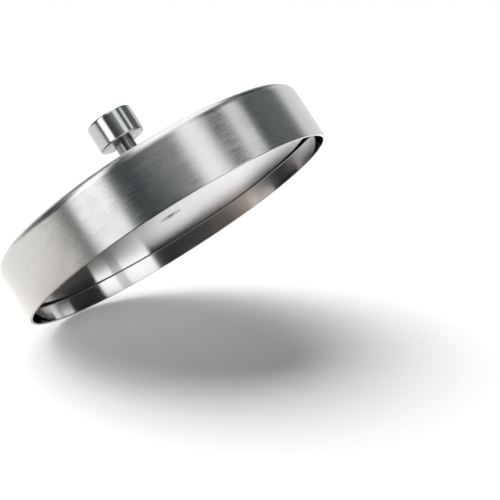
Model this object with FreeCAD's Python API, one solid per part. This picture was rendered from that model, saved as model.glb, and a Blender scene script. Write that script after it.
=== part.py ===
import FreeCAD, Part
import math
import os

# Patty press: a drawn steel cup, mouth down, and a plunger that slides in a
# guide bush through the cup's lid. Millimetres. The origin is the centre of the
# cup's mouth, in the plane of the rim; +Z runs up the plunger's axis.

# ---- cup -------------------------------------------------------------------
CUP_DIAMETER = 115.0        # outside
CUP_HEIGHT = 21.0           # rim to top of lid
CUP_SHEET = 1.0             # thickness of the drawn sheet
SHOULDER_RADIUS = 3.0       # outside radius where wall turns into lid
RIM_ROUND = 0.3             # deburred edges of the rim

# ---- plunger ---------------------------------------------------------------
PLATE_FACE_Z = 6.5          # pressing face above the rim, at rest
PLATE_SHEET = 2.0
PLATE_GAP = 2.0             # radial gap between plate and wall
PLATE_ROUND = 0.3           # edges of the plate
STEM_DIAMETER = 7.0
STEM_SPIGOT_DIAMETER = 5.0  # threaded end inside the knob
STEM_SPIGOT_LENGTH = 6.0
KNOB_DIAMETER = 16.7
KNOB_HEIGHT = 9.6
KNOB_UNDERSIDE_Z = 36.4
KNOB_TOP_ROUND = 0.9
KNOB_BOTTOM_CHAMFER = 0.4
HUB_WASHER_DIAMETER = 16.0  # between the stem and the plate
HUB_WASHER_THICKNESS = 1.0

# ---- plate screw: M4, 90 degree countersunk head, hexagon socket --------------
SCREW_DIAMETER = 4.0
SCREW_HEAD_DIAMETER = 7.5
SCREW_HEAD_EDGE = 0.2       # straight edge of the head, above its face
SCREW_LENGTH = 10.0
SCREW_SOCKET_FLATS = 2.5
SCREW_SOCKET_DEPTH = 1.4

# ---- guide in the lid ---------------------------------------------------------
BUSH_DIAMETER = 12.0        # threaded barrel, M12 x 1
BUSH_FLANGE_DIAMETER = 18.0
BUSH_FLANGE_THICKNESS = 1.2
BUSH_CHAMFER = 0.8
GASKET_THICKNESS = 0.5
LID_WASHER_DIAMETER = 20.0
LID_WASHER_THICKNESS = 0.8
COLLAR_DIAMETER = 18.0      # round nut on top of the lid
COLLAR_HEIGHT = 5.0
COLLAR_FLATS = 16.0         # across its two spanner flats
COLLAR_FLAT_HEIGHT = 3.0
COLLAR_CHAMFER = 1.0
O_RING_SECTION = 1.48       # 1.5 nominal
O_RING_DEPTH = 5.0          # centre of the O-ring below the top of the bush

# ---- fits ------------------------------------------------------------------
RUNNING_CLEARANCE = 0.05    # radial, stem in bush
SEAL_CLEARANCE = 0.02       # radial, O-ring on stem and in its groove
GROOVE_SIDE_CLEARANCE = 0.15  # axial, above and below the O-ring
HOLE_CLEARANCE = 0.1        # radial, fixed parts in plain holes
STOP_CLEARANCE = 0.05       # left at each end of the stroke

# ---- derived ---------------------------------------------------------------
CUP_RADIUS = CUP_DIAMETER / 2
BORE_RADIUS = CUP_RADIUS - CUP_SHEET
LID_UNDERSIDE_Z = CUP_HEIGHT - CUP_SHEET
PLATE_RADIUS = BORE_RADIUS - PLATE_GAP
PLATE_TOP_Z = PLATE_FACE_Z + PLATE_SHEET
STEM_BOTTOM_Z = PLATE_TOP_Z + HUB_WASHER_THICKNESS
STEM_RADIUS = STEM_DIAMETER / 2
GUIDE_RADIUS = STEM_RADIUS + RUNNING_CLEARANCE
EJECT_STROKE = PLATE_FACE_Z  # downwards, until the plate is level with the rim
BUSH_TOP_Z = KNOB_UNDERSIDE_Z - EJECT_STROKE - STOP_CLEARANCE
FLANGE_TOP_Z = LID_UNDERSIDE_Z - GASKET_THICKNESS
FLANGE_BOTTOM_Z = FLANGE_TOP_Z - BUSH_FLANGE_THICKNESS
FILL_STROKE = FLANGE_BOTTOM_Z - STEM_BOTTOM_Z - STOP_CLEARANCE  # upwards
COLLAR_BOTTOM_Z = CUP_HEIGHT + LID_WASHER_THICKNESS
O_RING_Z = BUSH_TOP_Z - O_RING_DEPTH
O_RING_RADIUS = STEM_RADIUS + SEAL_CLEARANCE + O_RING_SECTION / 2
GROOVE_RADIUS = O_RING_RADIUS + O_RING_SECTION / 2 + SEAL_CLEARANCE
GROOVE_HALF_WIDTH = O_RING_SECTION / 2 + GROOVE_SIDE_CLEARANCE

UP = FreeCAD.Vector(0, 0, 1)


def cylinder(radius, bottom, top):
    return Part.makeCylinder(radius, top - bottom, FreeCAD.Vector(0, 0, bottom), UP)


def ring(outer, inner, bottom, top):
    return cylinder(outer, bottom, top).cut(cylinder(inner, bottom, top))


def hexagon(across_flats, bottom, top):
    """Hexagonal prism on the axis."""
    corner = across_flats / math.sqrt(3)
    points = []
    for i in range(7):
        angle = math.radians(60 * i)
        points.append(FreeCAD.Vector(corner * math.cos(angle), corner * math.sin(angle), bottom))
    face = Part.Face(Part.makePolygon(points))
    return face.extrude(FreeCAD.Vector(0, 0, top - bottom))


def edges_at(shape, radius, z):
    """Circular edges of the given radius at height z."""
    found = []
    for edge in shape.Edges:
        curve = edge.Curve
        if isinstance(curve, Part.Circle):
            if abs(curve.Radius - radius) < 1e-4 and abs(curve.Center.z - z) < 1e-4:
                found.append(edge)
    return found


def cup():
    """Drawn cup with its mouth down and a hole for the guide bush in the lid."""
    outside = cylinder(CUP_RADIUS, 0, CUP_HEIGHT)
    outside = outside.makeFillet(SHOULDER_RADIUS, edges_at(outside, CUP_RADIUS, CUP_HEIGHT))
    inside = cylinder(BORE_RADIUS, 0, LID_UNDERSIDE_Z)
    inner_shoulder = SHOULDER_RADIUS - CUP_SHEET
    inside = inside.makeFillet(inner_shoulder, edges_at(inside, BORE_RADIUS, LID_UNDERSIDE_Z))
    hole = cylinder(BUSH_DIAMETER / 2 + HOLE_CLEARANCE, 0, CUP_HEIGHT)
    shell = outside.cut(inside).cut(hole)
    rim = edges_at(shell, CUP_RADIUS, 0) + edges_at(shell, BORE_RADIUS, 0)
    return shell.makeFillet(RIM_ROUND, rim)


def guide_bush():
    """Flanged, threaded tube that guides the stem; the flange is under the lid."""
    flange = cylinder(BUSH_FLANGE_DIAMETER / 2, FLANGE_BOTTOM_Z, FLANGE_TOP_Z)
    barrel = cylinder(BUSH_DIAMETER / 2, FLANGE_BOTTOM_Z, BUSH_TOP_Z)
    barrel = barrel.makeChamfer(BUSH_CHAMFER, edges_at(barrel, BUSH_DIAMETER / 2, BUSH_TOP_Z))
    bore = cylinder(GUIDE_RADIUS, FLANGE_BOTTOM_Z, BUSH_TOP_Z)
    groove = cylinder(GROOVE_RADIUS, O_RING_Z - GROOVE_HALF_WIDTH, O_RING_Z + GROOVE_HALF_WIDTH)
    return flange.fuse(barrel).removeSplitter().cut(bore).cut(groove)


def lid_gasket():
    """Flat silicone washer between the bush's flange and the lid."""
    inner = BUSH_DIAMETER / 2 + HOLE_CLEARANCE
    return ring(BUSH_FLANGE_DIAMETER / 2, inner, FLANGE_TOP_Z, LID_UNDERSIDE_Z)


def lid_washer():
    inner = BUSH_DIAMETER / 2 + HOLE_CLEARANCE
    return ring(LID_WASHER_DIAMETER / 2, inner, CUP_HEIGHT, COLLAR_BOTTOM_Z)


def collar_nut():
    """Round nut that clamps the bush to the lid, with two spanner flats."""
    top = COLLAR_BOTTOM_Z + COLLAR_HEIGHT
    body = cylinder(COLLAR_DIAMETER / 2, COLLAR_BOTTOM_Z, top)
    body = body.makeChamfer(COLLAR_CHAMFER, edges_at(body, COLLAR_DIAMETER / 2, top))
    for start in (COLLAR_FLATS / 2, -COLLAR_FLATS / 2 - COLLAR_DIAMETER):
        corner = FreeCAD.Vector(-COLLAR_DIAMETER / 2, start, top - COLLAR_FLAT_HEIGHT)
        beyond = Part.makeBox(COLLAR_DIAMETER, COLLAR_DIAMETER, COLLAR_FLAT_HEIGHT, corner)
        body = body.cut(beyond)
    return body.cut(cylinder(BUSH_DIAMETER / 2, COLLAR_BOTTOM_Z, top))


def stem_o_ring():
    """Grips the stem, so that the plunger stays where it is put."""
    centre = FreeCAD.Vector(0, 0, O_RING_Z)
    return Part.makeTorus(O_RING_RADIUS, O_RING_SECTION / 2, centre, UP)


def stem():
    """Round rod: a spigot for the knob on top, tapped from below for the screw."""
    rod = cylinder(STEM_RADIUS, STEM_BOTTOM_Z, KNOB_UNDERSIDE_Z)
    spigot_top = KNOB_UNDERSIDE_Z + STEM_SPIGOT_LENGTH
    spigot = cylinder(STEM_SPIGOT_DIAMETER / 2, KNOB_UNDERSIDE_Z, spigot_top)
    screw_end = PLATE_FACE_Z + SCREW_LENGTH
    return rod.fuse(spigot).cut(cylinder(SCREW_DIAMETER / 2, STEM_BOTTOM_Z, screw_end))


def knob():
    """Turned cylinder with a rounded top edge and a blind hole for the stem."""
    radius = KNOB_DIAMETER / 2
    top = KNOB_UNDERSIDE_Z + KNOB_HEIGHT
    body = cylinder(radius, KNOB_UNDERSIDE_Z, top)
    body = body.makeFillet(KNOB_TOP_ROUND, edges_at(body, radius, top))
    body = body.makeChamfer(KNOB_BOTTOM_CHAMFER, edges_at(body, radius, KNOB_UNDERSIDE_Z))
    spigot_top = KNOB_UNDERSIDE_Z + STEM_SPIGOT_LENGTH
    return body.cut(cylinder(STEM_SPIGOT_DIAMETER / 2, KNOB_UNDERSIDE_Z, spigot_top))


def screw_head():
    """The head's solid: a short straight edge at the plate's face, then a 90 degree cone."""
    head = SCREW_HEAD_DIAMETER / 2
    shank = SCREW_DIAMETER / 2
    edge_top = PLATE_FACE_Z + SCREW_HEAD_EDGE
    flare = Part.makeCone(head, shank, head - shank, FreeCAD.Vector(0, 0, edge_top), UP)
    return cylinder(head, PLATE_FACE_Z, edge_top).fuse(flare)


def press_plate():
    """Round disc with rounded edges, countersunk for the screw."""
    disc = cylinder(PLATE_RADIUS, PLATE_FACE_Z, PLATE_TOP_Z)
    edges = edges_at(disc, PLATE_RADIUS, PLATE_FACE_Z) + edges_at(disc, PLATE_RADIUS, PLATE_TOP_Z)
    disc = disc.makeFillet(PLATE_ROUND, edges)
    hole = cylinder(SCREW_DIAMETER / 2, PLATE_FACE_Z, PLATE_TOP_Z)
    return disc.cut(hole).cut(screw_head())


def hub_washer():
    return ring(HUB_WASHER_DIAMETER / 2, SCREW_DIAMETER / 2, PLATE_TOP_Z, STEM_BOTTOM_Z)


def plate_screw():
    """Countersunk screw that holds the plate to the stem."""
    shank = cylinder(SCREW_DIAMETER / 2, PLATE_FACE_Z, PLATE_FACE_Z + SCREW_LENGTH)
    body = shank.fuse(screw_head()).removeSplitter()
    return body.cut(hexagon(SCREW_SOCKET_FLATS, PLATE_FACE_Z, PLATE_FACE_Z + SCREW_SOCKET_DEPTH))


PIECES = {
    "cup": cup,
    "guide_bush": guide_bush,
    "lid_gasket": lid_gasket,
    "lid_washer": lid_washer,
    "collar_nut": collar_nut,
    "stem_o_ring": stem_o_ring,
    "stem": stem,
    "knob": knob,
    "press_plate": press_plate,
    "hub_washer": hub_washer,
    "plate_screw": plate_screw,
}

os.makedirs("parts", exist_ok=True)
for name, build in PIECES.items():
    shape = build()
    shape.exportStep("parts/" + name + ".step")
    print(name, "solids", len(shape.Solids), "valid", shape.isValid(), "mm3", round(shape.Volume, 1))
print("stroke down", EJECT_STROKE, "up", round(FILL_STROKE, 3), "bush top", BUSH_TOP_Z)
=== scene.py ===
import math

import bmesh
import bpy
from mathutils import Matrix, Quaternion, Vector


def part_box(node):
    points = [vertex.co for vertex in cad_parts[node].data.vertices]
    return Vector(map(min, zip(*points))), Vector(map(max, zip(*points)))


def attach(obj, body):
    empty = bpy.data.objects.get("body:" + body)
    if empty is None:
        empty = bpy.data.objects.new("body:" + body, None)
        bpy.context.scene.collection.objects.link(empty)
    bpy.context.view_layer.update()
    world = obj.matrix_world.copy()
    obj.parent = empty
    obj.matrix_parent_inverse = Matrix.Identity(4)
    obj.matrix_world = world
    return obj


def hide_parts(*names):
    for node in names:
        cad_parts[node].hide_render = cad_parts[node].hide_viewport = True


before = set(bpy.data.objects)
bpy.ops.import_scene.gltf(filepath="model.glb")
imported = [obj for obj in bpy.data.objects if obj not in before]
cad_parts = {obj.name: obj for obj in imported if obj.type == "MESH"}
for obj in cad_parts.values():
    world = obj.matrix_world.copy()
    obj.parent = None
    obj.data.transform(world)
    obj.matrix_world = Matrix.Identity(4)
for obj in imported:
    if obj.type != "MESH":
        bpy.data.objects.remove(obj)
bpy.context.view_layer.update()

MM = 0.001

# ---- sizes, from the frame --------------------------------------------------------
CUP_LOW, CUP_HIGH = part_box("cup")
PLATE_LOW, PLATE_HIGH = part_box("press_plate")
KNOB_LOW, KNOB_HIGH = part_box("knob")
STEM_LOW, STEM_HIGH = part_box("stem")
BUSH_LOW, BUSH_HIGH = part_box("guide_bush")
FLANGE_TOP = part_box("lid_gasket")[0].z         # the bush's flange lies against the gasket
SCREW_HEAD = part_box("plate_screw")[1].x        # radius

# ---- sizes that the frame's boxes don't give --------------------------------------
SHEET = 1.0 * MM             # the cup's wall
SHOULDER = 3.0 * MM          # outside radius between wall and lid
LID_HOLE = 6.1 * MM          # radius
RIM_SHARE = 0.35             # part of the rim's width that has the inside's finish
HOLE_FINISH = 0.1 * MM       # how far up the lid's hole that finish goes
SCREW_SHANK = 2.0 * MM       # radius
COUNTERSINK_GAP = 0.12 * MM  # round the screw's head, at the plate's face
COUNTERSINK_EDGE = 0.3 * MM  # depth at which that gap has closed
COUNTERSINK_TOP = 0.2 * MM   # the cone ends this far below the plate's top
KNOB_BORE = 2.5 * MM         # radius of the hole for the stem's threaded end
KNOB_CHAMFER = 0.4 * MM      # round its underside
KNOB_ROUND = 0.9 * MM        # round its top
KNOB_FACE = 0.05 * MM        # faces this close to its lower end are only turned, not polished
BUSH_RADIUS = 6.0 * MM       # of its barrel
BUSH_BORE = 3.55 * MM        # radius
BUSH_CHAMFER = 0.8 * MM
THREAD_START = 1.0 * MM      # above the lid
THREAD_PITCH = 1.0 * MM
THREAD_DEPTH = 0.5 * MM      # to the point of a sharp groove
THREAD_ROOT = 0.85           # part of that depth at which it ends in a flat bottom
THREAD_HALF = 0.42           # half the groove's width, in pitches
THREAD_END = 0.3 * MM        # length over which the groove runs out on top
THREAD_STEPS = 90            # rows of faces along it

# Roundings of edges, and the two bevels.
RIM_EDGE = 0.3 * MM          # rim and pressing plate
SOFT_EDGE = 0.2 * MM         # the stem's lower end and the bush's bore
EDGE = 0.15 * MM             # washers, flange and the knob's chamfer
FINE_EDGE = 0.1 * MM         # holes, and the top of the bush
SHARP_EDGE = 0.05 * MM       # where one piece or part meets the next
COLLAR_BEVEL = 0.12 * MM
SCREW_BEVEL = 0.05 * MM

# Meshes.
ROUND_STEP = math.radians(9)           # largest turn from point to point of a rounding
SUPPORT = 0.03 * MM                    # from each rounding to the ring that keeps flats flat
ON_AXIS = 1e-9                         # a radius below this is a point on the axis
SAME_POINT = 0.001 * MM                # points closer than this are merged
ON_BARREL = 0.01 * MM                  # points this close to the bush's radius get the thread
FLAT_ANGLE = math.radians(1)           # faces that meet at less than this become one
SHARP_ANGLE = math.radians(35)         # edges that turn by more are bevelled

# ---- steel ------------------------------------------------------------------------
NOISE_DETAIL = 3
NOISE_ROUGHNESS = 0.6
PATCHES = 160                # patches of wear to a metre
WEAR_RANGE = (0.6, 1.4)      # of grain and patches, added
QUARTER_TURN = 0.25          # turns the stretched reflections across the grain

# ---- camera -----------------------------------------------------------------------
CAMERA_PLACE = Vector((0.0, -413.8, -57.2)) * MM
CAMERA_AIM = Vector((16.2, 0.0, -17.5)) * MM
CAMERA_LEAN = 32.7           # degrees, the press leans to the left by this much
CAMERA_LENS = 90.1           # on a sensor of SENSOR_WIDTH, in mm
SENSOR_WIDTH = 36

# ---- table ------------------------------------------------------------------------
# It lies under the lowest point of the rim, its origin. Its X runs to the right and its Y
# to the back, and its distances are in metres.
TABLE_PITCH = 16.5           # degrees, how far the camera looks down on it
TABLE_DROP = 0.05 * MM       # gap between the rim and the table
TABLE_FADE = (0.5, 0.9)      # its edge fades out between these distances
TABLE_ROUGHNESS = 0.8
TABLE_SEEN = (0.96, 0.96, 0.965)       # its colour in the picture
TABLE_LEFT = (0.91, 0.895, 0.875)      # and in the steel, at its brightest: painted reflection tones, darker and warmer on the left
TABLE_RIGHT = (0.975, 0.975, 1.0)
TABLE_PAINTED_WARMTH = (1.0, 0.86, 0.78)         # painted warm reflection, towards the front
TABLE_SIDES = (-0.02, 0.05)            # X where left turns into right
# The steel sees the table with painted shade, darker in places. Each pair says where a change
# starts and ends.
TABLE_PAINTED_FALLOFF = 0.30           # painted shade: it grows darker beyond this distance
SHADE_REACH = (0.062, 0.008) # the press's own shade, stronger towards the rim
SHADE_SIDE = (-0.03, 0.02)   # and only on the right of this
FRONT_START = (0, -0.05)     # the front part, by Y, with painted shade and a painted warm tint
FRONT_SLOPE = 0.8            # its left side is a line, X = FRONT_SLOPE * Y
FRONT_SIDE = (-0.03, 0.02)   # measured along X from that line
FRONT_SHADE_FROM = 0.05           # painted shade: in the front part it grows darker beyond this distance
FRONT_SHADE_POWER = 1.5            # and this is how fast, as a power of the distance
CORNER_SHADE_START = (-0.03, -0.12)          # painted shade in its right corner, by Y
CORNER_SHADE_SIDE = (0, 0.05)                # and by X

# ---- light ------------------------------------------------------------------------
# Light on the table: tilt from straight up, side (0 is right, 90 the back) and width, all in
# degrees, and power.
TABLE_LIGHTS = [
    (42, 145, 85, 4.4),
    (75, 279, 38, 1.8),
]
FILL = 0.02                  # plain light on what isn't steel
ROOM = (0.057, 0.071, 0.078) # where the steel sees no soft box
ROOM_LOW = 0.12              # how much of that is left below the rim
ROOM_EDGE = (-6, 0)          # degrees of elevation over which it changes
# Each box: azimuth from, to and softness, elevation from, to and softness, brightness.
# Degrees; azimuth 0 is towards the camera and positive to +X.
SOFT_BOXES = [
    (-52, -23, 5, 5, 58, 6, 1.95),       # strip on the left
    (-80, -33, 14, 54, 200, 12, 1.5),    # its glow, higher up
    (27.5, 52, 4, -60, 0, 6, 1.9),       # window on the right, below the rim
    (48, 64, 4, -60, 0, 6, 1.0),         # its frame
    (12, 30, 12, 0, 60, 10, 0.2),        # faint light on its left, above the rim
    (30, 50, 14, 0, 60, 6, 1.28),        # the window above the rim
    (59, 74, 2, -60, 0, 6, 1.9),         # narrow window beside it, below the rim
    (67, 81.5, 5, 0, 24, 10, 1.05),      # and above
    (-2, 32, 20, 18, 60, 10, 0.5),       # haze before the window
    (3, 60, 10, 36, 70, 10, 1.2),        # front edge of the ceiling
    (4, 160, 10, 52, 200, 10, 1.6),      # ceiling
    (80, 98, 8, 26, 42, 8, 0.4),         # lamp on the right
    (90, 126, 20, -5, 30, 14, 0.12),     # wall on the right
    (122, 185, 14, -20, 26, 12, 0.85),   # back, on the right
    (-185, -130, 16, 18, 60, 14, 1.0),   # back, on the left
    (-120, -90, 20, 16, 40, 12, 0.3),    # wall on the left
    (150, 185, 14, 30, 200, 14, 1.2),    # above the back
]


# ---- nodes ------------------------------------------------------------------------
def node(tree, kind, **settings):
    """A new node, with its own settings."""
    made = tree.nodes.new(kind)
    for key, value in settings.items():
        setattr(made, key, value)
    return made


def feed(tree, value, socket):
    """Link an output to the socket, or set a plain number, colour or vector on it."""
    if isinstance(value, bpy.types.NodeSocket):
        tree.links.new(value, socket)
    else:
        socket.default_value = value


def math_node(tree, operation, *values):
    made = node(tree, "ShaderNodeMath", operation=operation)
    for socket, value in zip(made.inputs, values):
        feed(tree, value, socket)
    return made.outputs[0]


def product(tree, a, b):
    return math_node(tree, "MULTIPLY", a, b)


def remainder(tree, value):
    """What is left of 1."""
    return math_node(tree, "SUBTRACT", 1.0, value)


def ramp(tree, value, ends):
    """0 up to the first of `ends` and 1 from the second, with a smooth rise between them.
    The first may be the higher."""
    made = node(tree, "ShaderNodeMapRange", interpolation_type="SMOOTHSTEP")
    made.inputs["From Min"].default_value, made.inputs["From Max"].default_value = sorted(ends)
    if ends[0] > ends[1]:
        made.inputs["To Min"].default_value, made.inputs["To Max"].default_value = 1.0, 0.0
    tree.links.new(value, made.inputs["Value"])
    return made.outputs[0]


def band(tree, value, start, stop, soft):
    """1 between start and stop, with edges that rise and fall over `soft`."""
    half = soft / 2
    rise = ramp(tree, value, (start - half, start + half))
    fall = ramp(tree, value, (stop + half, stop - half))
    return product(tree, rise, fall)


def split(tree, vector):
    """The vector's x, y and z."""
    made = node(tree, "ShaderNodeSeparateXYZ")
    tree.links.new(vector, made.inputs[0])
    return made.outputs


def scaled(tree, vector, factor):
    """The vector or colour times the factor."""
    made = node(tree, "ShaderNodeVectorMath", operation="SCALE")
    feed(tree, vector, made.inputs[0])
    tree.links.new(factor, made.inputs["Scale"])
    return made.outputs[0]


def noise(tree, vector, scale):
    made = node(tree, "ShaderNodeTexNoise")
    made.inputs["Scale"].default_value = scale
    made.inputs["Detail"].default_value = NOISE_DETAIL
    made.inputs["Roughness"].default_value = NOISE_ROUGHNESS
    tree.links.new(vector, made.inputs["Vector"])
    return made.outputs["Fac"]


def opaque(colour):
    return (*colour, 1)


def colour_mix(tree, factor, a, b):
    """Colour `a` where the factor is 0 and `b` where it is 1."""
    made = node(tree, "ShaderNodeMix", data_type="RGBA")
    tree.links.new(factor, made.inputs["Factor"])
    feed(tree, a, made.inputs["A"])
    feed(tree, b, made.inputs["B"])
    return made.outputs["Result"]


def shader_mix(tree, factor, a, b):
    """Shader node `a` where the factor is 0 and `b` where it is 1."""
    made = node(tree, "ShaderNodeMixShader")
    tree.links.new(factor, made.inputs["Fac"])
    tree.links.new(a.outputs[0], made.inputs[1])
    tree.links.new(b.outputs[0], made.inputs[2])
    return made


def new_material(name):
    """A material, its node tree and its shader."""
    material = bpy.data.materials.new(name)
    material.use_nodes = True
    tree = material.node_tree
    return material, tree, tree.nodes["Principled BSDF"]


# ---- materials --------------------------------------------------------------------
def turned_coordinates(tree, place, along, across):
    """Coordinates stretched round the axis: `along` per metre round it, `across` per metre
    along the section, whichever way the surface faces."""
    x, y, z = split(tree, place)
    squares = math_node(tree, "ADD", product(tree, x, x), product(tree, y, y))
    radius = math_node(tree, "SQRT", squares)
    section = math_node(tree, "SUBTRACT", z, radius)
    join = node(tree, "ShaderNodeCombineXYZ")
    for socket, value, scale in zip(join.inputs, (x, y, section), (along, along, across)):
        tree.links.new(product(tree, value, scale), socket)
    return join.outputs[0]


def straight_coordinates(tree, place, along, across):
    """Coordinates stretched along X, for a disc cut from brushed sheet."""
    made = node(tree, "ShaderNodeVectorMath", operation="MULTIPLY")
    tree.links.new(place, made.inputs[0])
    made.inputs[1].default_value = (along, across, across)
    return made.outputs[0]


def steel(name, colour, roughness, spread, anisotropy, along, across, bump, wear=0.06,
          straight=False):
    """Stainless steel with grain round the axis, or straight along X. `spread` is how much its
    roughness varies, `bump` how deep the grain is in metres, `wear` how much its tone varies.
    `along` and `across` say how fine the grain is, per metre."""
    material, tree, shader = new_material(name)
    shader.inputs["Metallic"].default_value = 1.0
    shader.inputs["Anisotropic"].default_value = anisotropy
    place = node(tree, "ShaderNodeTexCoord").outputs["Object"]

    if straight:
        tangent = node(tree, "ShaderNodeVectorTransform", vector_type="VECTOR",
                       convert_from="OBJECT", convert_to="WORLD")
        tangent.inputs[0].default_value = (0, 1, 0)
        stretched = straight_coordinates(tree, place, along, across)
    else:
        tangent = node(tree, "ShaderNodeTangent", direction_type="RADIAL", axis="Z")
        shader.inputs["Anisotropic Rotation"].default_value = QUARTER_TURN
        stretched = turned_coordinates(tree, place, along, across)
    tree.links.new(tangent.outputs[0], shader.inputs["Tangent"])
    grain = noise(tree, stretched, scale=1.0)
    patches = noise(tree, place, scale=PATCHES)

    rough = node(tree, "ShaderNodeMapRange")
    rough.inputs["From Min"].default_value, rough.inputs["From Max"].default_value = WEAR_RANGE
    rough.inputs["To Min"].default_value = roughness - spread
    rough.inputs["To Max"].default_value = roughness + spread
    tree.links.new(math_node(tree, "ADD", grain, patches), rough.inputs["Value"])
    tree.links.new(rough.outputs[0], shader.inputs["Roughness"])

    darker, lighter = [[c * share for c in colour] for share in (1 - wear, 1 + wear)]
    tone = colour_mix(tree, grain, opaque(darker), opaque(lighter))
    tree.links.new(tone, shader.inputs["Base Color"])

    relief = node(tree, "ShaderNodeBump")
    relief.inputs["Strength"].default_value = 1.0
    relief.inputs["Distance"].default_value = bump
    tree.links.new(grain, relief.inputs["Height"])
    tree.links.new(relief.outputs[0], shader.inputs["Normal"])
    return material


def silicone():
    """Grey, matt and faintly speckled."""
    material, tree, shader = new_material("silicone")
    shader.inputs["Roughness"].default_value = 0.55
    speckle = node(tree, "ShaderNodeTexNoise")
    speckle.inputs["Scale"].default_value = 900
    dark, pale = opaque((0.30, 0.30, 0.30)), opaque((0.42, 0.42, 0.41))
    tint = colour_mix(tree, speckle.outputs["Fac"], dark, pale)
    tree.links.new(tint, shader.inputs["Base Color"])
    return material


BRUSHED = steel("brushed_steel", (0.59, 0.59, 0.58), roughness=0.25, spread=0.07,
                anisotropy=0.75, along=130, across=2600, bump=2.5e-6)
BRIGHT = steel("bright_inside", (0.64, 0.64, 0.63), roughness=0.07, spread=0.02,
               anisotropy=0.3, along=40, across=3000, bump=0.2e-6, wear=0.03)
PLATE = steel("plate_steel", (0.86, 0.86, 0.86), roughness=0.22, spread=0.015,
              anisotropy=0.8, along=40, across=2500, bump=0.4e-6, wear=0.05, straight=True)
POLISHED = steel("polished_steel", (0.52, 0.52, 0.52), roughness=0.17, spread=0.03,
                 anisotropy=0.3, along=90, across=5000, bump=0.6e-6, wear=0.04)
TURNED = steel("turned_steel", (0.52, 0.52, 0.52), roughness=0.28, spread=0.05,
               anisotropy=0.5, along=60, across=5000, bump=1.5e-6)
STEM = steel("stem_steel", (0.23, 0.235, 0.235), roughness=0.24, spread=0.03,
             anisotropy=0.3, along=90, across=5000, bump=1e-6)
SCREW = steel("screw_steel", (0.48, 0.455, 0.41), roughness=0.32, spread=0.05,
              anisotropy=0.3, along=60, across=5000, bump=1.5e-6)
SILICONE = silicone()


# ---- meshes -----------------------------------------------------------------------
def new_object(name, data):
    made = bpy.data.objects.new(name, data)
    bpy.context.scene.collection.objects.link(made)
    return made


def smooth_piece(name, mesh):
    mesh.polygons.foreach_set("use_smooth", [True] * len(mesh.polygons))
    return new_object(name, mesh)


def rounded_section(corners, closed):
    """Points of a section whose corners are (radius, height, rounding), in metres."""
    points = []
    count = len(corners)
    for i, (r, z, rounding) in enumerate(corners):
        here = Vector((r, z))
        is_end = not closed and i in (0, count - 1)
        if is_end or rounding == 0:
            points.append(here)
            continue
        before = Vector(corners[i - 1][:2])
        after = Vector(corners[(i + 1) % count][:2])
        into = (here - before).normalized()
        out = (after - here).normalized()
        turn = into.angle_signed(out)
        back = rounding * math.tan(abs(turn) / 2)
        start = here - into * back
        side = Vector((-into.y, into.x)) * (-1 if turn > 0 else 1)
        centre = start + side * rounding
        spoke = start - centre
        steps = max(3, math.ceil(abs(turn) / ROUND_STEP))
        points.append(start - into * SUPPORT)
        for k in range(steps + 1):
            angle = -turn * k / steps
            c, s = math.cos(angle), math.sin(angle)
            points.append(centre + Vector((spoke.x * c - spoke.y * s, spoke.x * s + spoke.y * c)))
        points.append(here + out * (back + SUPPORT))
    return points


def turned_mesh(name, corners, closed=True, segments=192):
    """A section turned about Z. An open section starts and ends on the axis."""
    verts, faces, rings = [], [], []
    for p in rounded_section(corners, closed):
        if p.x < ON_AXIS:
            rings.append([len(verts)])
            verts.append((0.0, 0.0, p.y))
            continue
        rings.append(range(len(verts), len(verts) + segments))
        for k in range(segments):
            a = 2 * math.pi * k / segments
            verts.append((p.x * math.cos(a), p.x * math.sin(a), p.y))
    pairs = list(zip(rings, rings[1:]))
    if closed:
        pairs.append((rings[-1], rings[0]))
    for low, high in pairs:
        for k in range(segments):
            n = (k + 1) % segments
            if len(low) == 1:
                faces.append((low[0], high[n], high[k]))
            elif len(high) == 1:
                faces.append((low[k], low[n], high[0]))
            else:
                faces.append((low[k], low[n], high[n], high[k]))
    mesh = bpy.data.meshes.new(name)
    mesh.from_pydata(verts, [], faces)
    mesh.validate()
    return smooth_piece(name, mesh)


def finish_piece(piece, body, slot, material, *nodes):
    piece.data.materials.clear()
    piece.data.materials.append(material)
    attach(piece, body)
    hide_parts(*nodes)


def second_material(piece, material, has_it):
    """Give the material to the faces whose centres pass the test."""
    piece.data.materials.append(material)
    for face in piece.data.polygons:
        face.material_index = 1 if has_it(face.center) else 0


# ---- pieces -----------------------------------------------------------------------
def cup():
    """Drawn from one sheet: ring, shoulder and lid, with a hole for the bush."""
    outer, rim, lid = CUP_HIGH.x, CUP_LOW.z, CUP_HIGH.z
    bore = outer - SHEET
    under = lid - SHEET
    corners = [
        (bore, rim, RIM_EDGE),
        (outer, rim, RIM_EDGE),
        (outer, lid, SHOULDER),
        (LID_HOLE, lid, FINE_EDGE),
        (LID_HOLE, under, FINE_EDGE),
        (bore, under, SHOULDER - SHEET),
    ]
    piece = turned_mesh("press_cup", corners, segments=384)
    finish_piece(piece, "cup", "satin_steel", BRUSHED, "cup")
    reach, top = bore + RIM_SHARE * SHEET, under + HOLE_FINISH
    second_material(piece, BRIGHT, lambda c: math.hypot(c.x, c.y) < reach and c.z < top)


def press_plate():
    """The disc, countersunk for the screw from below."""
    radius, face, top = PLATE_HIGH.x, PLATE_LOW.z, PLATE_HIGH.z
    corners = [
        (SCREW_SHANK, top - COUNTERSINK_TOP, 0),
        (SCREW_HEAD, face + COUNTERSINK_EDGE, 0),
        (SCREW_HEAD + COUNTERSINK_GAP, face, FINE_EDGE),
        (radius, face, RIM_EDGE),
        (radius, top, RIM_EDGE),
        (SCREW_SHANK, top, 0),
    ]
    piece = turned_mesh("press_plate_disc", corners, segments=384)
    finish_piece(piece, "plunger", "plate_steel", PLATE, "press_plate")


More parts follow.
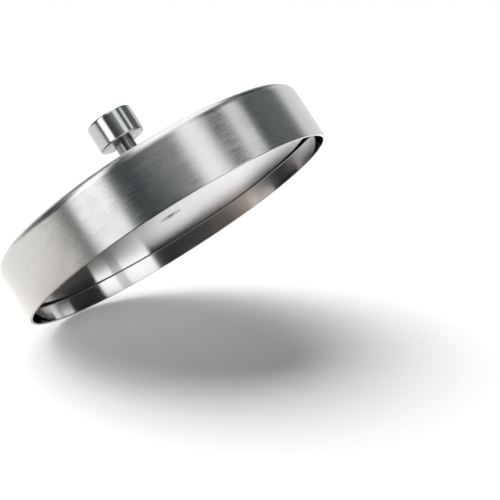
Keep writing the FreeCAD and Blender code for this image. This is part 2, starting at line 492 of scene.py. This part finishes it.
def knob():
    """Turned from bar, with a blind hole for the stem's threaded end."""
    radius, low, top = KNOB_HIGH.x, KNOB_LOW.z, KNOB_HIGH.z
    corners = [
        (0, STEM_HIGH.z, 0),
        (KNOB_BORE, STEM_HIGH.z, 0),
        (KNOB_BORE, low, FINE_EDGE),
        (radius - KNOB_CHAMFER, low, EDGE),
        (radius, low + KNOB_CHAMFER, EDGE),
        (radius, top, KNOB_ROUND),
        (0, top, 0),
    ]
    piece = turned_mesh("knob_turned", corners, closed=False)
    finish_piece(piece, "plunger", "polished_steel", POLISHED, "knob")
    second_material(piece, TURNED, lambda c: c.z < low + KNOB_FACE)


def stem():
    """The rod up to the knob; its threaded end isn't seen."""
    radius = STEM_HIGH.x
    corners = [
        (0, STEM_LOW.z, 0),
        (radius, STEM_LOW.z, SOFT_EDGE),
        (radius, KNOB_LOW.z, SHARP_EDGE),
        (0, KNOB_LOW.z, 0),
    ]
    piece = turned_mesh("stem_rod", corners, closed=False)
    finish_piece(piece, "plunger", "polished_steel", STEM, "stem")


def washer(name, node_name, bore, body, slot, material):
    """A flat ring, as wide and as thick as its CAD node."""
    low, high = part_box(node_name)
    corners = [
        (bore, low.z, EDGE),
        (high.x, low.z, EDGE),
        (high.x, high.z, EDGE),
        (bore, high.z, EDGE),
    ]
    finish_piece(turned_mesh(name, corners), body, slot, material, node_name)


def guide_bush():
    """The bush's flange and barrel, with a thread cut into the barrel outside the lid."""
    start, stop = CUP_HIGH.z + THREAD_START, BUSH_HIGH.z - BUSH_CHAMFER
    heights = [start + (stop - start) * k / THREAD_STEPS for k in range(THREAD_STEPS + 1)]
    corners = [
        (BUSH_BORE, BUSH_LOW.z, SOFT_EDGE),
        (BUSH_HIGH.x, BUSH_LOW.z, EDGE),
        (BUSH_HIGH.x, FLANGE_TOP, EDGE),
        (BUSH_RADIUS, FLANGE_TOP, SHARP_EDGE),
        *[(BUSH_RADIUS, z, 0) for z in heights],
        (BUSH_RADIUS - BUSH_CHAMFER, BUSH_HIGH.z, FINE_EDGE),
        (BUSH_BORE, BUSH_HIGH.z, SOFT_EDGE),
    ]
    piece = turned_mesh("bush_threaded", corners, segments=96)
    for vertex in piece.data.vertices:
        x, y, z = vertex.co
        if start < z < stop and abs(math.hypot(x, y) - BUSH_RADIUS) < ON_BARREL:
            turn = (z / THREAD_PITCH - math.atan2(y, x) / (2 * math.pi)) % 1
            groove = max(0.0, 1 - abs(turn - 0.5) / THREAD_HALF)
            ease = min(1.0, (z - start) / THREAD_PITCH, (stop - z) / THREAD_END)
            shrink = 1 - THREAD_DEPTH * min(groove, THREAD_ROOT) * ease / BUSH_RADIUS
            vertex.co = (x * shrink, y * shrink, z)
    finish_piece(piece, "cup", "turned_steel", TURNED, "guide_bush")


def machined(name, node_name, bevel, body, slot, material):
    """A CAD node with its sharp edges broken, for pieces that aren't round."""
    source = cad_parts[node_name]
    mesh = bpy.data.meshes.new(name)
    form = bmesh.new()
    form.from_mesh(source.data)
    form.transform(source.matrix_world)
    bmesh.ops.remove_doubles(form, verts=form.verts, dist=SAME_POINT)
    bmesh.ops.dissolve_limit(form, angle_limit=FLAT_ANGLE, verts=form.verts, edges=form.edges)
    sharp = [e for e in form.edges
             if len(e.link_faces) == 2 and e.calc_face_angle() > SHARP_ANGLE]
    bmesh.ops.bevel(form, geom=sharp, offset=bevel, segments=3, profile=0.5, affect="EDGES",
                    clamp_overlap=True)
    bmesh.ops.triangulate(form, faces=[f for f in form.faces if len(f.verts) > 4])
    form.to_mesh(mesh)
    form.free()
    piece = smooth_piece(name, mesh)
    even = piece.modifiers.new("flat faces stay flat", "WEIGHTED_NORMAL")
    even.weight = 100
    finish_piece(piece, body, slot, material, node_name)


def keep_cad_node(name, material):
    """The CAD node's own mesh, with a material."""
    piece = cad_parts[name]
    piece.data.materials.clear()
    piece.data.materials.append(material)


cup()
press_plate()
knob()
stem()
guide_bush()
machined("collar_bevelled", "collar_nut", COLLAR_BEVEL, "cup", "polished_steel", POLISHED)
machined("screw_bevelled", "plate_screw", SCREW_BEVEL, "plunger", "turned_steel", SCREW)
washer("lid_washer_ring", "lid_washer", LID_HOLE, "cup", "polished_steel", POLISHED)
washer("hub_washer_ring", "hub_washer", SCREW_SHANK, "plunger", "turned_steel", TURNED)
washer("gasket_ring", "lid_gasket", LID_HOLE, "cup", "silicone", SILICONE)
keep_cad_node("stem_o_ring", SILICONE)


# ---- camera and stage -------------------------------------------------------------
def camera():
    """The photograph's camera."""
    data = bpy.data.cameras.new("camera")
    data.lens = CAMERA_LENS
    data.sensor_width = SENSOR_WIDTH
    data.clip_start = 0.01
    data.clip_end = 20
    made = new_object("camera", data)
    made.location = CAMERA_PLACE
    made.rotation_mode = "QUATERNION"
    look = (CAMERA_AIM - CAMERA_PLACE).to_track_quat("-Z", "Y")
    made.rotation_quaternion = look @ Quaternion((0, 0, 1), math.radians(-CAMERA_LEAN))
    bpy.context.scene.camera = made
    return made


def table_normal(cam):
    """Up, as the table has it: tilted towards the camera from the picture's vertical."""
    pitch = math.radians(TABLE_PITCH)
    return cam.rotation_quaternion @ Vector((0, math.cos(pitch), math.sin(pitch)))


def table_painted_shade(tree, x, y, reach):
    """The colour in which the steel sees the table, with painted shade: darker with distance, in
    the
     press's own shade, in the front part and in its right corner; the front gets a painted warm
     tint."""
    # The front part: painted shade that grows with distance, and a painted warm tint.
    beside = math_node(tree, "SUBTRACT", x, product(tree, y, FRONT_SLOPE))
    front = product(tree, ramp(tree, y, FRONT_START), ramp(tree, beside, FRONT_SIDE))
    near = math_node(tree, "POWER", math_node(tree, "DIVIDE", FRONT_SHADE_FROM, reach), FRONT_SHADE_POWER)
    far = math_node(tree, "MAXIMUM", 0.0, remainder(tree, near))
    # painted shade in the table's right corner
    corner = product(tree, ramp(tree, y, CORNER_SHADE_START), ramp(tree, x, CORNER_SHADE_SIDE))
    painted_front_shade = math_node(tree, "MAXIMUM", product(tree, front, far), corner)
    # painted shade of the press, near where its rim touches the table
    shade = product(tree, ramp(tree, reach, SHADE_REACH), ramp(tree, x, SHADE_SIDE))
    # painted shade: darker with distance
    level = math_node(tree, "MINIMUM", math_node(tree, "DIVIDE", TABLE_PAINTED_FALLOFF, reach), 1.0)
    for dark in (shade, painted_front_shade):
        level = product(tree, level, remainder(tree, dark))
    # painted reflection tones: darker and warmer on the left, bluish on the right
    sides = colour_mix(tree, ramp(tree, x, TABLE_SIDES), opaque(TABLE_LEFT), opaque(TABLE_RIGHT))
    return scaled(tree, colour_mix(tree, front, sides, opaque(TABLE_PAINTED_WARMTH)), level)


def table_material():
    """Plain and pale in the picture. It is clear from below and past its soft round edge."""
    material, tree, shader = new_material("table")
    shader.inputs["Roughness"].default_value = TABLE_ROUGHNESS
    shader.inputs["Specular IOR Level"].default_value = 0.0
    place = node(tree, "ShaderNodeTexCoord").outputs["Object"]
    length = node(tree, "ShaderNodeVectorMath", operation="LENGTH")
    tree.links.new(place, length.inputs[0])
    reach = length.outputs["Value"]
    x, y, _ = split(tree, place)
    seen = node(tree, "ShaderNodeLightPath").outputs["Is Camera Ray"]
    # The camera sees the plain TABLE_SEEN; the steel sees the table with painted shade and tints.
    colour = colour_mix(tree, seen, table_painted_shade(tree, x, y, reach), opaque(TABLE_SEEN))
    tree.links.new(colour, shader.inputs["Base Color"])
    below = node(tree, "ShaderNodeNewGeometry").outputs["Backfacing"]
    hidden = math_node(tree, "MAXIMUM", below, ramp(tree, reach, TABLE_FADE))
    surface = shader_mix(tree, hidden, shader, node(tree, "ShaderNodeBsdfTransparent"))
    tree.links.new(surface.outputs[0], tree.nodes["Material Output"].inputs["Surface"])
    return material


def floor(up, back):
    """The table, as large as its soft edge needs."""
    outwards = Vector((up.x, up.y, 0)).normalized()
    contact = -outwards * CUP_HIGH.x
    half = TABLE_FADE[1]
    corners = [(-half, -half, 0), (half, -half, 0), (half, half, 0), (-half, half, 0)]
    mesh = bpy.data.meshes.new("floor")
    mesh.from_pydata(corners, [], [(0, 1, 2, 3)])
    mesh.materials.append(table_material())
    made = new_object("floor", mesh)
    made.rotation_mode = "QUATERNION"
    made.rotation_quaternion = Matrix((back.cross(up), back, up)).transposed().to_quaternion()
    made.location = contact - up * TABLE_DROP


def studio():
    """A dark room with soft boxes, which the steel mirrors. The camera sees plain white."""
    world = bpy.data.worlds.new("studio")
    bpy.context.scene.world = world
    world.use_nodes = True
    tree = world.node_tree
    tree.nodes.clear()
    x, y, z = split(tree, node(tree, "ShaderNodeTexCoord").outputs["Generated"])
    around = math_node(tree, "ARCTAN2", x, product(tree, y, -1.0))
    azimuth = product(tree, around, math.degrees(1))
    elevation = product(tree, math_node(tree, "ARCSINE", z), math.degrees(1))
    light = None
    for left, right, side_soft, low, high, end_soft, level in SOFT_BOXES:
        across = band(tree, azimuth, left, right, side_soft)
        upwards = band(tree, elevation, low, high, end_soft)
        box = product(tree, product(tree, across, upwards), level)
        light = box if light is None else math_node(tree, "MAXIMUM", light, box)
    walls = product(tree, ramp(tree, elevation, ROOM_EDGE), 1 - ROOM_LOW)
    room = scaled(tree, ROOM, math_node(tree, "ADD", walls, ROOM_LOW))
    colour = node(tree, "ShaderNodeVectorMath", operation="ADD")
    tree.links.new(light, colour.inputs[0])
    tree.links.new(room, colour.inputs[1])
    shown = node(tree, "ShaderNodeBackground")
    tree.links.new(colour.outputs[0], shown.inputs["Color"])
    path = node(tree, "ShaderNodeLightPath")
    for ray, level in (("Is Diffuse Ray", FILL), ("Is Camera Ray", 1.0)):
        plain = node(tree, "ShaderNodeBackground")
        plain.inputs["Color"].default_value = (level, level, level, 1)
        shown = shader_mix(tree, path.outputs[ray], shown, plain)
    output = node(tree, "ShaderNodeOutputWorld")
    tree.links.new(shown.outputs[0], output.inputs["Surface"])


def table_lights(up, back):
    """Soft light on the table, which the steel doesn't mirror."""
    right = back.cross(up)
    for i, (tilt, side, width, power) in enumerate(TABLE_LIGHTS):
        data = bpy.data.lights.new(f"table_light_{i}", "SUN")
        data.energy = power
        data.angle = math.radians(width)
        made = new_object(data.name, data)
        made.visible_glossy = False
        tilt, side = math.radians(tilt), math.radians(side)
        sideways = right * math.cos(side) + back * math.sin(side)
        towards = up * math.cos(tilt) + sideways * math.sin(tilt)
        made.rotation_mode = "QUATERNION"
        made.rotation_quaternion = towards.to_track_quat("Z", "Y")


cam = camera()
up = table_normal(cam)
back = up.cross(cam.rotation_quaternion @ Vector((1, 0, 0)))
floor(up, back)
studio()
table_lights(up, back)
bpy.context.scene.view_settings.view_transform = "Standard"
